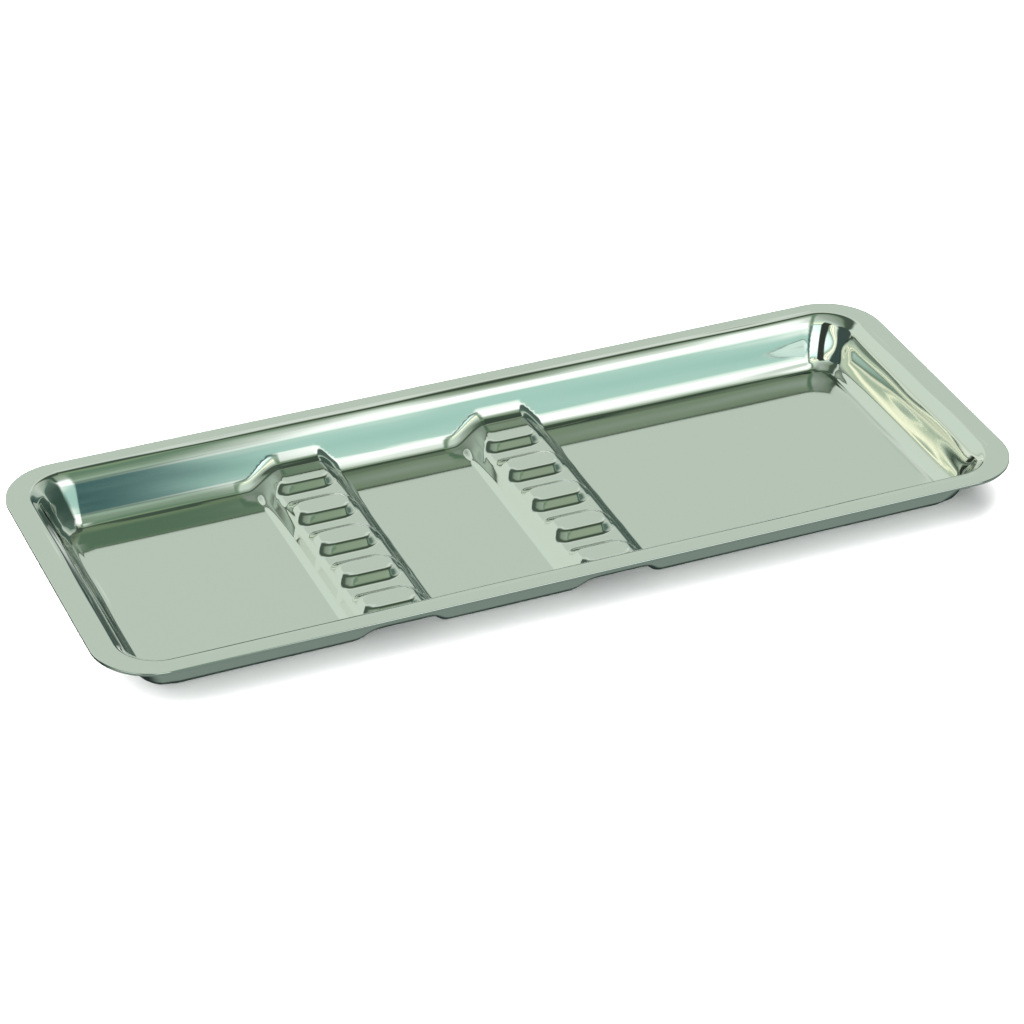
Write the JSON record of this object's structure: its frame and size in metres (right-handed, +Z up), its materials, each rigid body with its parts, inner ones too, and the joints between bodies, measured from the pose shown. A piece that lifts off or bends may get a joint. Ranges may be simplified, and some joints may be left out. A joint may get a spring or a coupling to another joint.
{
  "type": "instrument tray",
  "caption": "Shallow rectangular pressed-steel instrument tray with a flat flange, sloping walls and two notched rests across its floor.",
  "frame": {"origin": "on the ground, under the middle of the tray's outline", "axes": "+X along the length, towards the end farther from the rests; +Y across the width; +Z up"},
  "size_m": [0.22, 0.087, 0.0121],
  "materials": {
    "polished_steel": "mirror polished stainless steel"
  },
  "bodies": {
    "root": {"tray_pan": "polished_steel"}
  },
  "joints": []
}
